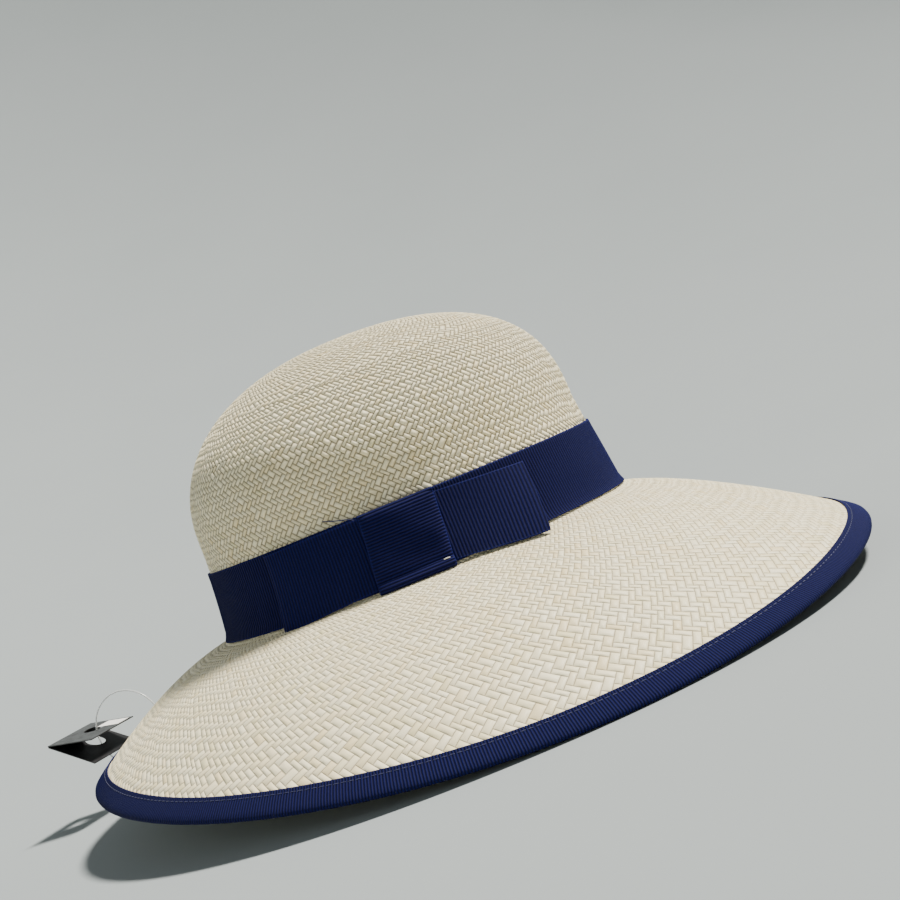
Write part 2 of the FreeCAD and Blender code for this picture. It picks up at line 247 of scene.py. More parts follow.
def give_thickness(piece, thick):
    """Cloth thickness in mm, half to each side of the mesh."""
    wall = piece.modifiers.new("cloth thickness", "SOLIDIFY")
    wall.thickness = thick * MM
    wall.offset = 0.0


# %% [markdown]
# ## Shader groups
# Two effects are used by more than one material, so each is a node group: the straw's
# twill and the ribbon's ribs.  A group only puts out colours, values and heights; each
# material keeps its own Principled shader.  Thread and cloth are plain functions.


# %% Helpers that build node trees
def new_group(name, inputs, outputs):
    """Empty shader group with float or colour sockets; returns it with its two ends."""
    tree = bpy.data.node_groups.new(name, "ShaderNodeTree")
    kinds = {"f": "NodeSocketFloat", "c": "NodeSocketColor", "v": "NodeSocketVector"}
    for socket, kind, value in inputs:
        made = tree.interface.new_socket(socket, in_out="INPUT", socket_type=kinds[kind])
        if kind != "v":
            made.default_value = value
    for socket, kind in outputs:
        tree.interface.new_socket(socket, in_out="OUTPUT", socket_type=kinds[kind])
    start, end = tree.nodes.new("NodeGroupInput"), tree.nodes.new("NodeGroupOutput")
    return tree, start, end


def feed(tree, socket, value):
    """Link a socket to another one, or set it to a number or a colour."""
    if isinstance(value, bpy.types.NodeSocket):
        tree.links.new(value, socket)
    elif value is not None:
        socket.default_value = value


def math_node(tree, operation, *values, clamp=False):
    node = tree.nodes.new("ShaderNodeMath")
    node.operation = operation
    node.use_clamp = clamp
    for socket, value in zip(node.inputs, values):
        feed(tree, socket, value)
    return node.outputs[0]


def times(tree, a, b):
    return math_node(tree, "MULTIPLY", a, b)


def plus(tree, a, b, **more):
    return math_node(tree, "ADD", a, b, **more)


def minus(tree, a, b):
    return math_node(tree, "SUBTRACT", a, b)


def smooth_step(tree, value, low, high, out_low=0.0, out_high=1.0):
    node = tree.nodes.new("ShaderNodeMapRange")
    node.interpolation_type = "SMOOTHSTEP"
    for socket, number in zip(node.inputs, (value, low, high, out_low, out_high)):
        feed(tree, socket, number)
    return node.outputs[0]


def mixed(tree, factor, one, two, blend="MIX"):
    node = tree.nodes.new("ShaderNodeMix")
    node.data_type = "RGBA"
    node.blend_type = blend
    colours = [s for s in node.inputs if s.type == "RGBA"]
    feed(tree, node.inputs[0], factor)
    feed(tree, colours[0], one)
    feed(tree, colours[1], two)
    return [s for s in node.outputs if s.type == "RGBA"][0]


def noise(tree, vector, scale, detail=2.0, roughness=0.5):
    node = tree.nodes.new("ShaderNodeTexNoise")
    feed(tree, node.inputs["Vector"], vector)
    node.inputs["Scale"].default_value = scale
    node.inputs["Detail"].default_value = detail
    node.inputs["Roughness"].default_value = roughness
    return node.outputs["Fac"]


def vector_of(tree, x, y, z=0.0):
    join = tree.nodes.new("ShaderNodeCombineXYZ")
    for socket, value in zip(join.inputs, (x, y, z)):
        feed(tree, socket, value)
    return join.outputs[0]


def hashed(tree, x, y):
    """A steady random number for each pair of whole numbers."""
    node = tree.nodes.new("ShaderNodeTexWhiteNoise")
    node.noise_dimensions = "2D"
    tree.links.new(vector_of(tree, x, y), node.inputs["Vector"])
    return node.outputs["Value"]


def uv_parts(tree, uv_name):
    """The two coordinates of a named UV map, and the whole vector."""
    node = tree.nodes.new("ShaderNodeUVMap")
    node.uv_map = uv_name
    split = tree.nodes.new("ShaderNodeSeparateXYZ")
    tree.links.new(node.outputs[0], split.inputs[0])
    return split.outputs[0], split.outputs[1], node.outputs[0]


def principled(name, roughness=0.6, **constants):
    """Material with a bare Principled shader and constants on its own sockets."""
    material = bpy.data.materials.new(name)
    material.use_nodes = True
    tree = material.node_tree
    shader = tree.nodes["Principled BSDF"]
    shader.inputs["Roughness"].default_value = roughness
    for socket, value in constants.items():
        shader.inputs[socket.replace("_", " ")].default_value = value
    return material, tree, shader


def placed_group(tree, group_tree, **values):
    """Place a shader group in a material and set its own inputs."""
    node = tree.nodes.new("ShaderNodeGroup")
    node.node_tree = group_tree
    for socket, value in values.items():
        node.inputs[socket.replace("_", " ")].default_value = value
    return node


def own_coords(tree):
    """A piece's own Object coordinates."""
    return tree.nodes.new("ShaderNodeTexCoord").outputs["Object"]


def bump_into(tree, shader, height, distance):
    node = tree.nodes.new("ShaderNodeBump")
    node.inputs["Strength"].default_value = 1.0
    node.inputs["Distance"].default_value = distance
    tree.links.new(height, node.inputs["Height"])
    tree.links.new(node.outputs[0], shader.inputs["Normal"])


# %% [markdown]
# ## The straw's weave
# A panama is plaited in a twill: two families of palm strands cross at 45 degrees to
# the hat's rim, and each strand passes over two and under two.  The steps of the twill
# line up in rows round the hat.  About 200 strands of each family run down the crown
# and some 270 out over the brim, where they get wider towards the edge.  A weaver adds
# strands inside the plait; here they are added from ring to ring.  With u and v counted
# in strands, u + v and u - v number the two families, and the same sum serves the mesh
# and the shader.


# %% Node group for the strands' colour, painted shade in their gaps, and fine relief
FAMILY_STEP = 577.0               # keeps the numbers of the two families of strands apart


def straw_group():
    tree, start, end = new_group(
        "woven strands",
        [("Gap", "f", 0.1), ("Gap depth", "f", 0.6), ("Variation", "f", 0.5)],
        [("Colour", "c"), ("Height", "f"), ("Roughness", "f")])
    u, v, whole = uv_parts(tree, "weave")
    a, b = plus(tree, u, v), minus(tree, u, v)
    cell_a, cell_b = math_node(tree, "FLOOR", a), math_node(tree, "FLOOR", b)
    step = math_node(tree, "FLOORED_MODULO", minus(tree, cell_a, cell_b), 4.0)
    a_on_top = math_node(tree, "LESS_THAN", step, 1.5)
    upper = math_node(tree, "FLOORED_MODULO", step, 2.0)

    def pick(if_a, if_b):
        node = tree.nodes.new("ShaderNodeMix")
        node.data_type = "FLOAT"
        feed(tree, node.inputs[0], a_on_top)
        feed(tree, node.inputs[2], if_b)
        feed(tree, node.inputs[3], if_a)
        return node.outputs[0]

    frac_a, frac_b = math_node(tree, "FRACT", a), math_node(tree, "FRACT", b)
    across = pick(frac_a, frac_b)
    second_a = minus(tree, 1.0, upper)
    along_a = times(tree, plus(tree, frac_b, second_a), 0.5)
    along_b = times(tree, plus(tree, frac_a, upper), 0.5)
    along = pick(along_a, along_b)
    strand = pick(cell_a, plus(tree, cell_b, FAMILY_STEP))
    start_a = minus(tree, cell_b, second_a)
    start_b = minus(tree, cell_a, upper)
    float_start = pick(start_a, start_b)

    side = times(tree, across, minus(tree, 1.0, across))
    side = times(tree, side, 4.0)
    ends = times(tree, along, minus(tree, 1.0, along))
    ends = times(tree, ends, 4.0)
    gap = start.outputs["Gap"]
    open_side = smooth_step(tree, side, gap, times(tree, gap, 3.2))
    open_ends = smooth_step(tree, ends, times(tree, gap, 0.8), times(tree, gap, 3.4))
    face = times(tree, open_side, open_ends)

    tint = hashed(tree, strand, 3.0)
    local = hashed(tree, strand, float_start)
    fibres = noise(tree, vector_of(tree, times(tree, across, 9.0), times(tree, along, 1.5),
                                   times(tree, strand, 3.7)), 1.4, 2.0)
    cloudy = noise(tree, whole, 0.06, 3.0)

    ivory, cream, green = (0.89, 0.785, 0.50, 1), (0.82, 0.68, 0.385, 1), (0.78, 0.735, 0.45, 1)
    colour = mixed(tree, smooth_step(tree, tint, 0.35, 1.0), ivory, cream)
    colour = mixed(tree, smooth_step(tree, tint, 0.86, 0.9, 0.0, 0.55), colour, green)
    pale = (0.93, 0.855, 0.63, 1)
    colour = mixed(tree, times(tree, local, start.outputs["Variation"]), colour, pale)
    colour = mixed(tree, smooth_step(tree, fibres, 0.45, 0.75, 0.0, 0.28), colour,
                   (0.68, 0.56, 0.34, 1))
    colour = mixed(tree, smooth_step(tree, cloudy, 0.5, 0.8, 0.0, 0.3), colour,
                   (0.76, 0.66, 0.45, 1))
    # Painted shade: the colour is darkened in the gaps between strands and at the ends of each
    # float, standing in for the shadow in the weave's hollows; the group's second input sets how
    # dark.
    painted_gap_shade = times(tree, minus(tree, 1.0, face), start.outputs["Gap depth"])
    colour = mixed(tree, painted_gap_shade, colour, (0.20, 0.14, 0.065, 1))
    tree.links.new(colour, end.inputs["Colour"])

    dome = math_node(tree, "POWER", math_node(tree, "MAXIMUM", side, 0.001), 0.5)
    lengthwise = math_node(tree, "POWER", math_node(tree, "MAXIMUM", ends, 0.001), 0.45)
    height = times(tree, dome, lengthwise)
    height = plus(tree, height, times(tree, fibres, 0.10))
    tree.links.new(height, end.inputs["Height"])
    rough = smooth_step(tree, fibres, 0.2, 0.8, 0.42, 0.6)
    tree.links.new(rough, end.inputs["Roughness"])
    return tree


WOVEN = straw_group()


# %% Straw materials for the crown and the brim
def straw_material(name, gap, depth, variation, bump):
    material, tree, shader = principled(name, 0.5, Specular_IOR_Level=0.42,
                                        Sheen_Weight=0.12, Sheen_Roughness=0.4)
    group = placed_group(tree, WOVEN, Gap=gap, Gap_depth=depth, Variation=variation)
    tree.links.new(group.outputs["Colour"], shader.inputs["Base Color"])
    tree.links.new(group.outputs["Roughness"], shader.inputs["Roughness"])
    bump_into(tree, shader, group.outputs["Height"], bump)
    return material


# The third number sets the painted shade in the gaps between strands.
crown_straw = straw_material("crown_straw", 0.13, 0.66, 0.6, 0.0011)
brim_straw = straw_material("brim_straw", 0.07, 0.55, 0.8, 0.0007)
print("straw materials:", crown_straw.name, brim_straw.name)

# %% [markdown]
# ## The straw body in rings
# One mesh of the whole body would pass 200,000 triangles, so the body is cut into
# closed rings, each with an outer and an inner woven face.  The relief is real: a
# strand's face is domed across and along each float, so that the exported mesh shows
# the weave as well.  A weave unit in v is as long as one in u is wide, which keeps the
# floats from stretching, so v is summed up from the ring lengths on the way down.
# More strands are added where the brim starts, because it grows so much wider.

# %% Count strands down the surface
FULL_STRANDS = 200
SAMPLES = 4                       # mesh columns for each strand
levels = np.linspace(0.02, 4.0, 1600)
probe_phi = phi_of_turn(np.linspace(0, 1, 240, endpoint=False))
probe = hat_points(np.repeat(levels[:, None], 240, 1), np.repeat(probe_phi[None], 1600, 0))
ring_length = np.linalg.norm(np.roll(probe, -1, axis=1) - probe, axis=2).sum(axis=1)
row_step = np.linalg.norm(np.diff(probe, axis=0), axis=2).mean(axis=1)
meridian = np.concatenate([[0.0], np.cumsum(row_step)])
print("top to edge: %.1f mm, rim %.1f mm" % (meridian[-1], ring_length[-1]))
rng = np.random.default_rng(20)
WANDER = rng.uniform(0, 2 * math.pi, 8)


def wandered(u, v, strands):
    """Small slow drifts, because hands space strands less evenly than a machine."""
    turn = 2 * math.pi * u / strands
    du = 0.22 * np.sin(3 * turn + v * 0.11 + WANDER[0]) + 0.12 * np.sin(11 * turn + WANDER[1])
    dv = 0.25 * np.sin(2 * turn + WANDER[2]) + 0.18 * np.sin(7 * turn + v * 0.17 + WANDER[3])
    dv = dv + 0.07 * np.sin(23 * turn + WANDER[4])
    a, b = u + du + v + dv, u + du - v - dv
    beat = 2 * math.pi / strands
    for part, (share, size) in enumerate(((0.137, 0.13), (0.223, 0.10), (0.331, 0.08))):
        rate = beat * round(share * strands)
        a = a + size * np.sin(rate * a + WANDER[part])
        b = b + size * np.sin(rate * b + WANDER[part + 3])
    return (a + b) / 2, (a - b) / 2


def float_relief(u, v, sharp_side, sharp_end):
    """Height from 0 to 1 of the strand that is on top at u, v."""
    a, b = u + v, u - v
    cell_a, cell_b = np.floor(a), np.floor(b)
    step = np.mod(cell_a - cell_b, 4)
    a_on_top = step < 1.5
    upper = np.mod(step, 2)
    along_a, along_b = (b - cell_b + 1 - upper) / 2, (a - cell_a + upper) / 2
    across = np.where(a_on_top, a - cell_a, b - cell_b)
    along = np.where(a_on_top, along_a, along_b)
    strand = np.where(a_on_top, cell_a, cell_b + FAMILY_STEP)
    first = np.where(a_on_top, cell_b - (1 - upper), cell_a - upper)
    luck = np.modf(np.abs(np.sin(strand * 12.9898 + first * 78.233)) * 43758.5453)[0]
    side = np.clip(4 * across * (1 - across), 0, 1) ** sharp_side
    ends = np.clip(4 * along * (1 - along), 0, 1) ** sharp_end
    return side * (0.2 + 0.8 * ends) * (0.75 + 0.25 * luck)


def straw_ring(name, level_top, level_low, strands, relief, sharp, material):
    """Closed ring of the straw body between two levels."""
    v_all = np.concatenate([[0.0], np.cumsum(row_step * strands / ring_length[1:])])
    v_top = np.interp(level_top, levels, v_all)
    v_low = np.interp(level_low, levels, v_all)
    rows = max(2, round((v_low - v_top) * SAMPLES))
    columns = strands * SAMPLES

    def place(i, j):
        outer = (j <= rows) | (j == 2 * rows + 2)
        k = np.where(j <= rows, j, 2 * rows + 1 - j)
        k = np.where(j == 2 * rows + 2, 0, k)
        v0 = v_top + (v_low - v_top) * k / rows
        level = np.interp(v0, v_all, levels)
        u0 = (i + 0.5) / SAMPLES
        u, v = wandered(u0, v0 + 0.02, strands)
        v = np.where(outer, v, v + 1)
        high = float_relief(u, v, *sharp) * relief
        phi = phi_of_turn(u0 / strands)
        off = np.where(outer, 0.12 - relief + high, -1.1 - high)
        points = hat_points(level, phi) + hat_normals(level, phi) * off[:, None]
        return points, np.stack([u, v], axis=1)

    creases = (0, rows, rows + 1, 2 * rows + 1, 2 * rows + 2)
    mesh = bent_grid(name, columns, 2 * rows + 2, place, "weave", creases=creases)
    print("%s: %d strands, %d triangles" % (name, strands, 2 * len(mesh.polygons)))
    return finish_piece(mesh, "hat", ("straw_body",), material)


# %% Weave the crown and the brim
def level_where(length, near):
    """Level on the crown's top where the ring is that long."""
    part = slice(0, int(len(levels) * near))
    return float(np.interp(length, ring_length[part], levels[part]))


CROWN_SHARP, BRIM_SHARP = (0.75, 0.6), (0.35, 0.4)
BRIM_STRANDS = 272
stages = [(60, 30), (140, 40), (240, 80), (360, 120), (480, 160)]
last = level_where(23, 0.2)
for number, (length, strands) in enumerate(stages):
    cut = level_where(length, 0.2)
    straw_ring("straw_top_%d" % (number + 1), last, cut, strands, 0.42, CROWN_SHARP, crown_straw)
    last = cut
straw_ring("straw_shoulder", last, 1.0, FULL_STRANDS, 0.48, CROWN_SHARP, crown_straw)
straw_ring("straw_wall", 1.0, 2.0, FULL_STRANDS, 0.48, CROWN_SHARP, crown_straw)
brim_cuts = (2.0, 3.3, 3.56, 3.79, 3.997)
for number, (high, low) in enumerate(zip(brim_cuts, brim_cuts[1:])):
    straw_ring("straw_brim_%d" % (number + 1), high, low, BRIM_STRANDS, 0.36,
               BRIM_SHARP, brim_straw)

# %% Close the middle of the crown's top
# The first crossing of strands, where a weaver starts, is a small flat knot.
bm = bmesh.new()
bmesh.ops.create_uvsphere(bm, u_segments=32, v_segments=12, radius=4.6 * MM)
bmesh.ops.scale(bm, verts=bm.verts, vec=(1, 1, 0.13))
knot_at = hat_points(np.array([0.03]), np.array([0.0]))[0] + HAT_LIFT
knot_at[:2] = HAT_LIFT[:2]
bmesh.ops.translate(bm, verts=bm.verts, vec=Vector(knot_at * MM) - Vector((0, 0, 0.55 * MM)))
knot_mesh = smooth_into(bm, bpy.data.meshes.new("straw_start_knot"))
knot_uv = knot_mesh.uv_layers.new(name="weave")
for loop, spot in zip(knot_mesh.loops, knot_uv.data):
    point = knot_mesh.vertices[loop.vertex_index].co
    spot.uv = (point.x * 450, point.y * 450)
finish_piece(knot_mesh, "hat", ("straw_body",), crown_straw)

# %% [markdown]
# ## Grosgrain
# Grosgrain has thick weft cords across its width, about seven in a centimetre, held
# by fine warp threads that run along it and show as tiny dashes on each rib.  Its two
# long edges, the selvedges, are bound tighter and catch the light.  The colour carries
# painted highlights: each rib's crest and the selvedges are painted lighter and the
# grooves darker, for the light the ribs catch.  The UV map "ribbon" holds millimetres
# along and across, so ribs keep their size on every piece.


# %% Node group for ribbon
WARP_MM = 0.37                    # one fine warp thread to the next


def ribbon_group():
    tree, start, end = new_group(
        "grosgrain ribs",
        [("Width", "f", 35.0), ("Base", "c", (0.01, 0.015, 0.1, 1)),
         ("Lift", "c", (0.03, 0.05, 0.25, 1)), ("Pitch", "f", 1.45)],
        [("Colour", "c"), ("Height", "f")])
    x, y, whole = uv_parts(tree, "ribbon")
    wobble = times(tree, noise(tree, whole, 0.5, 1.0), 0.25)
    ribs = math_node(tree, "DIVIDE", plus(tree, x, wobble), start.outputs["Pitch"])
    turns = times(tree, ribs, 2 * math.pi)
    rib = math_node(tree, "MULTIPLY_ADD", math_node(tree, "COSINE", turns), 0.5, 0.5)
    odd = math_node(tree, "FLOOR", times(tree, ribs, 2.0))
    odd = times(tree, odd, 0.5)
    warp = plus(tree, y, times(tree, odd, WARP_MM))
    warp = times(tree, warp, 2 * math.pi / WARP_MM)
    dash = math_node(tree, "MULTIPLY_ADD", math_node(tree, "SINE", warp), 0.5, 0.5)
    edge = math_node(tree, "MINIMUM", y, minus(tree, start.outputs["Width"], y))
    selvedge = smooth_step(tree, edge, 0.35, 0.9, 1.0, 0.0)
    fleck = noise(tree, vector_of(tree, times(tree, x, 1.0),
                                  times(tree, y, 6.0)), 1.2, 3.0)
    # Painted highlight: each rib's crest and the selvedges are painted toward the lighter second
    # colour, and the grooves stay dark as painted shade; the fleck is the ribbon's own uneven
    # tone.
    bright = times(tree, rib, math_node(tree, "MULTIPLY_ADD", dash, 0.6, 0.4))
    bright = math_node(tree, "MULTIPLY_ADD", fleck, 0.22, times(tree, bright, 0.85))
    bright = minus(tree, bright, 0.1)
    bright = plus(tree, bright, times(tree, selvedge, 0.35), clamp=True)
    colour = mixed(tree, bright, start.outputs["Base"], start.outputs["Lift"])
    tree.links.new(colour, end.inputs["Colour"])
    height = math_node(tree, "MULTIPLY_ADD", dash, 0.25, rib)
    tree.links.new(math_node(tree, "MAXIMUM", height, selvedge), end.inputs["Height"])
    return tree


RIBS = ribbon_group()


def ribbon_material(name, width, pitch, base, lift, bump=0.00022):
    material, tree, shader = principled(name, 0.7, Specular_IOR_Level=0.1,
                                        Sheen_Weight=0.02, Sheen_Roughness=0.35)
    shader.inputs["Sheen Tint"].default_value = (0.4, 0.42, 1.0, 1)
    group = placed_group(tree, RIBS, Width=width, Pitch=pitch, Base=base, Lift=lift)
    tree.links.new(group.outputs["Colour"], shader.inputs["Base Color"])
    bump_into(tree, shader, group.outputs["Height"], bump)
    return material


# NAVY is the dye; the second colour is a painted highlight, a lighter navy for rib crests and
# selvedges.
NAVY, NAVY_HIGHLIGHT = (0.001, 0.0015, 0.016, 1), (0.007, 0.010, 0.100, 1)
RIB_MM, BINDING_RIB_MM = 1.45, 1.3
band_ribbon = ribbon_material("band_grosgrain", 35.0, RIB_MM, NAVY, NAVY_HIGHLIGHT)
binding_ribbon = ribbon_material("binding_grosgrain", 25.0, BINDING_RIB_MM, NAVY, NAVY_HIGHLIGHT)

# %% [markdown]
# ## The hat band
# A 35 mm ribbon lies round the crown's foot and is stretched on damp so that it hugs
# the straw.  It could be a plain tube, but its ribs are wide enough to see on the
# outline, so the tube's columns are fine and every rib is a real ridge.

# %% Make the band
RIB_COLUMNS = 6
BAND_LOW, BAND_HIGH, BAND_FLARE = 1.2, 35.8, 0.95
rib_count = round(WALL_ROUND / RIB_MM)
BAND_OUT = [0.0, 0.02, 0.05, 0.12, 0.3, 0.5, 0.7, 0.88, 0.97, 1.0]
BAND_IN = [1.0, 0.5, 0.12, 0.0]


def rib_height(index, depth):
    """Ridge height for column numbers, one ridge in every RIB_COLUMNS."""
    return depth * (0.5 + 0.5 * np.cos(2 * math.pi * index / RIB_COLUMNS))


def band_place(i, j):
    rows_out, rows_in = len(BAND_OUT), len(BAND_IN)
    k = np.mod(j, rows_out + rows_in).astype(int)
    share = np.array(BAND_OUT + BAND_IN)[k]
    outer = k < rows_out
    z = BAND_LOW + (BAND_HIGH - BAND_LOW) * share
    phi = phi_of_turn(i / (rib_count * RIB_COLUMNS))
    wave = 0.16 * np.sin(5 * phi + 1.0 + 2 * share) + 0.10 * np.sin(13 * phi + 4 * share)
    z = z + 0.35 * np.sin(3 * phi + 0.6) * (share - 0.5)
    lip = 0.12 * (np.exp(-((share - 0.975) / 0.02) ** 2) + np.exp(-((share - 0.025) / 0.02) ** 2))
    off = np.where(outer, 0.98 + wave + lip + rib_height(i, 0.16), 0.42)
    off = off + BAND_FLARE * np.clip(1 - share / 0.12, 0, 1) ** 1.3
    points = crown(z, phi, off)
    return points, np.stack([i / RIB_COLUMNS * RIB_MM, 35.0 * share], axis=1)


band_mesh = bent_grid("hat_band_ribbon", rib_count * RIB_COLUMNS, len(BAND_OUT) + len(BAND_IN),
                      band_place, "ribbon")
band = finish_piece(band_mesh, "hat", ("hat_band",), band_ribbon)
print("band: %d ribs, %d triangles" % (rib_count, 2 * len(band_mesh.polygons)))

# %% [markdown]
# ## The brim's binding
# A 25 mm grosgrain is folded over the wired edge and sewn through both sides, 9 mm in.
# Its cross-section is a flat U with a round nose where the wire fills it.  The section
# is listed once, and a grid carries it round the rim with its ribs across the ribbon.

# %% Frame of the rim: the edge, the way in and the way up
def rim_point(back, off, phi):
    """Point back mm in from the brim's edge along the straw and off mm above it."""
    edge = brim(np.ones_like(phi), phi)
    near = brim(np.full_like(phi, 0.97), phi)
    inward = near - edge
    reach = np.linalg.norm(inward, axis=-1)
    inward = inward / reach[..., None]
    side = brim(np.ones_like(phi), phi + 0.01) - edge
    up = np.cross(inward, side)
    up = up / np.linalg.norm(up, axis=-1, keepdims=True)
    up = up * np.sign(up[..., 2:3])
    s = 1 - 0.03 * np.maximum(back, 0) / reach
    on_straw = brim(s, phi)
    beyond = edge - inward * np.maximum(-back, 0)[..., None]
    start = np.where((back > 0)[..., None], on_straw, beyond)
    return start + up * off[..., None]


RIM_PHI = np.linspace(-math.pi, math.pi, 2881)
rim_line = rim_point(np.zeros_like(RIM_PHI), np.zeros_like(RIM_PHI), RIM_PHI)
RIM_ARC = np.concatenate([[0.0], np.cumsum(np.linalg.norm(np.diff(rim_line, axis=0), axis=1))])
RIM_ROUND = RIM_ARC[-1]


def rim_phi(arc):
    return np.interp(np.mod(arc, RIM_ROUND), RIM_ARC, RIM_PHI)


print("round the rim: %.0f mm" % RIM_ROUND)

# %% Make the binding
# Each row is: mm in from the edge, mm above the straw's upper face, mm across the ribbon.
BINDING_SECTION = [
    (9.0, 0.50, 0.2), (8.9, 0.82, 0.5), (8.2, 0.80, 1.1), (6.9, 0.66, 2.4), (5.4, 0.80, 3.9),
    (3.0, 0.86, 6.3), (0.8, 0.84, 8.5), (-1.2, 0.72, 10.5), (-2.15, 0.08, 11.7),
    (-2.45, -0.70, 12.5), (-2.15, -1.48, 13.3), (-1.2, -2.12, 14.5), (0.8, -2.22, 16.5),
    (3.0, -2.24, 18.7), (5.4, -2.2, 21.1), (6.9, -2.06, 22.6), (8.2, -2.2, 23.9),
    (8.9, -2.2, 24.5), (9.0, -1.9, 24.8),
    (8.0, -1.66, 24.0), (0.0, -1.66, 15.8), (-1.85, -0.70, 12.5), (0.0, 0.28, 7.5),
    (8.0, 0.28, 1.0)]
OUTSIDE_ROWS = 19
BINDING_COLUMNS = 4
rim_ribs = round(RIM_ROUND / BINDING_RIB_MM)


def binding_place(i, j):
    section = np.array(BINDING_SECTION)[np.mod(j, len(BINDING_SECTION)).astype(int)]
    outside = np.mod(j, len(BINDING_SECTION)) < OUTSIDE_ROWS
    phi = rim_phi(i / (rim_ribs * BINDING_COLUMNS) * RIM_ROUND)
    phi = np.where(i == rim_ribs * BINDING_COLUMNS, math.pi, phi)
    rib = 0.07 * (1 + np.cos(2 * math.pi * i / BINDING_COLUMNS))
    middle = np.sign(section[:, 1] + 0.7)
    off = section[:, 1] + np.where(outside, middle * (rib - 0.09), 0.0)
    back = section[:, 0] + 0.16 * np.sin(9 * phi) * (section[:, 0] > 6)
    points = rim_point(back, off, phi)
    return points, np.stack([i / BINDING_COLUMNS * BINDING_RIB_MM, section[:, 2]], axis=1)


binding_mesh = bent_grid("rim_binding_ribbon", rim_ribs * BINDING_COLUMNS, len(BINDING_SECTION),
                         binding_place, "ribbon")
binding = finish_piece(binding_mesh, "hat", ("rim_binding",), binding_ribbon)
print("binding: %d ribs, %d triangles" % (rim_ribs, 2 * len(binding_mesh.polygons)))

# %% [markdown]
# ## Stitches
# A lockstitch shows as a row of short slanted beads with the cloth pulled in between.
# Each bead is a small stretched ball of a few dozen faces, placed by a matrix, so one
# mesh holds the whole row.


# %% Thread material and a row of stitches
def thread_material(name, base, lift):
    material, tree, shader = principled(name, 0.55, Sheen_Weight=0.2)
    wave = tree.nodes.new("ShaderNodeTexWave")
    wave.inputs["Scale"].default_value = 900.0
    wave.inputs["Distortion"].default_value = 2.0
    tree.links.new(own_coords(tree), wave.inputs["Vector"])
    colour = mixed(tree, wave.outputs["Fac"], base, lift)
    tree.links.new(colour, shader.inputs["Base Color"])
    bump_into(tree, shader, wave.outputs["Fac"], 0.00005)
    return material


navy_thread = thread_material("navy_thread", (0.004, 0.006, 0.045, 1), (0.012, 0.018, 0.11, 1))
pale_thread = thread_material("pale_thread", (0.62, 0.6, 0.52, 1), (0.86, 0.84, 0.78, 1))


def stitch_row(name, points, ups, length, thick, slant=0.0):
    """One small bead at each point, lying along the row and turned by slant."""
    bm = bmesh.new()
    count = len(points)
    for k in range(count):
        ahead = Vector(points[(k + 1) % count] - points[k - 1]).normalized()
        up = Vector(ups[k]).normalized()
        side = up.cross(ahead).normalized()
        ahead = (ahead + side * slant).normalized()
        side = up.cross(ahead).normalized()
        turn = Matrix((ahead * length / 2, side * thick / 2, up * thick / 2)).transposed()
        at = Matrix.Translation(Vector((points[k] + HAT_LIFT) * MM)) @ (turn * MM).to_4x4()
        at[3][3] = 1.0
        bmesh.ops.create_uvsphere(bm, u_segments=6, v_segments=4, radius=1.0, matrix=at)
    return smooth_into(bm, bpy.data.meshes.new(name))


# %% Sew the binding
STITCH_MM = 3.2
stitch_count = round(RIM_ROUND / STITCH_MM)
stitch_phi = rim_phi((np.arange(stitch_count) + 0.5) / stitch_count * RIM_ROUND)
ones = np.ones(stitch_count)
for name, node, off in (("rim_needle_stitches", "rim_needle_thread", 0.72),
                        ("rim_bobbin_stitches", "rim_bobbin_thread", -2.13)):
    spots = rim_point(6.9 * ones, off * ones, stitch_phi)
    over = rim_point(6.9 * ones, (off + 1) * ones, stitch_phi) - spots
    mesh = stitch_row(name, spots, over, 2.7, 0.42, 0.05)
    finish_piece(mesh, "hat", (node,), navy_thread)
print("binding stitches:", stitch_count, "on each side")

# %% [markdown]
# ## The bow
# The tailored bow is the same ribbon: two flat loops, a wide piece turned over their
# middle from top to bottom, and its folded end showing below.  A loop is a strip that
# goes out, turns back on itself in a soft fold, and returns underneath.  Each strip is
# drawn in plan as a path of (arc along the wall, distance off it), and a grid gives it
# its height, so its ribs stand upright as on the band.


# %% A loop of ribbon from a plan path
def smooth_path(points, count):
    """Evenly spaced points on a smooth line through control points, and its length."""
    points = np.array(points, float)
    ends = np.vstack([2 * points[0] - points[1], points, 2 * points[-1] - points[-2]])
    t = np.linspace(0, len(points) - 1, 40 * len(points))
    k = np.minimum(t.astype(int), len(points) - 2)
    f = (t - k)[:, None]
    p0, p1, p2, p3 = ends[k], ends[k + 1], ends[k + 2], ends[k + 3]
    fine = 0.5 * (2 * p1 + (p2 - p0) * f + (2 * p0 - 5 * p1 + 4 * p2 - p3) * f ** 2
                  + (3 * p1 - p0 - 3 * p2 + p3) * f ** 3)
    run = np.concatenate([[0], np.cumsum(np.linalg.norm(np.diff(fine[:, :2], axis=0), axis=1))])
    even = np.linspace(0, run[-1], count)
    return np.stack([np.interp(even, run, fine[:, c]) for c in range(fine.shape[1])], 1), run[-1]


